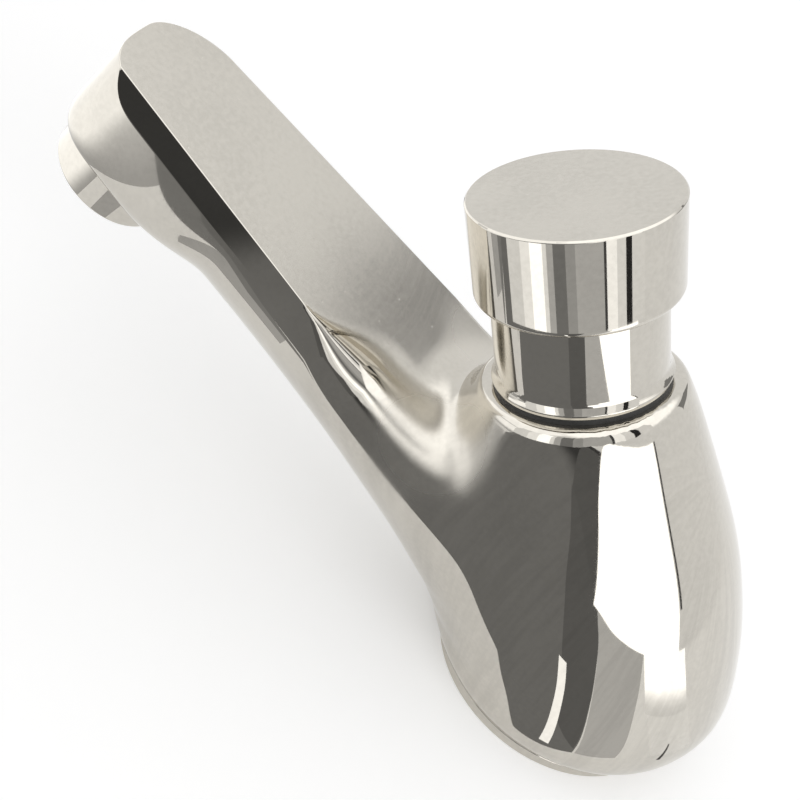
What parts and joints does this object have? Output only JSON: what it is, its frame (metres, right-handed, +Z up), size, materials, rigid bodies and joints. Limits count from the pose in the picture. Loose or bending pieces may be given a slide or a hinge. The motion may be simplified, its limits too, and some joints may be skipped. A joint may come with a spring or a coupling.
{
  "type": "push timed tap",
  "caption": "Deck-mounted self-closing tap: leaning push cap on an egg-shaped body with a long flat-topped spout, aerator and threaded inlet.",
  "frame": {"origin": "centre of the round base on the plane it is mounted on", "axes": "+Z up from the mounting plane, spout towards -Y, X = 0 the plane of symmetry"},
  "size_m": [0.063, 0.181, 0.1119],
  "materials": {
    "chrome_casting": "mirror polish, finely brushed on the spout's flat top",
    "chrome_turned": "mirror polish",
    "brass": "turned",
    "steel_rod": "drawn stainless steel",
    "steel_mesh": "pierced stainless sheet",
    "black_rubber": "matt moulded",
    "grey_plastic": "moulded acetal"
  },
  "bodies": {
    "tap": {"body": "chrome_casting", "base_ring": "chrome_turned", "base_gasket": "black_rubber", "inlet_bush": "brass", "inlet_strainer": "steel_mesh", "cartridge_barrel": "brass", "upper_barrel_ring": "black_rubber", "lower_barrel_ring": "black_rubber", "gland_nut": "brass", "stem_seal": "black_rubber", "bleed_pin": "steel_rod", "return_spring": "steel_rod", "collar": "chrome_turned", "collar_seal": "black_rubber", "aerator_washer": "black_rubber", "aerator_housing": "chrome_turned", "aerator_insert": "grey_plastic", "aerator_screen": "steel_mesh"},
    "push_group": {"push_cap": "chrome_turned", "cap_hub": "brass", "stem": "steel_rod", "stem_clips": "steel_rod", "piston": "grey_plastic", "cup_seal": "black_rubber", "valve_washer": "black_rubber", "valve_disc": "brass", "valve_nut": "brass"}
  },
  "joints": [
    {"name": "push", "type": "slide", "parent": "tap", "child": "push_group", "axis": [0, 0.521, -0.8536], "range_m": [0, 0.006], "stiffness_N_per_m": 2500, "springref_m": -0.004, "deforming": ["return_spring"]}
  ]
}
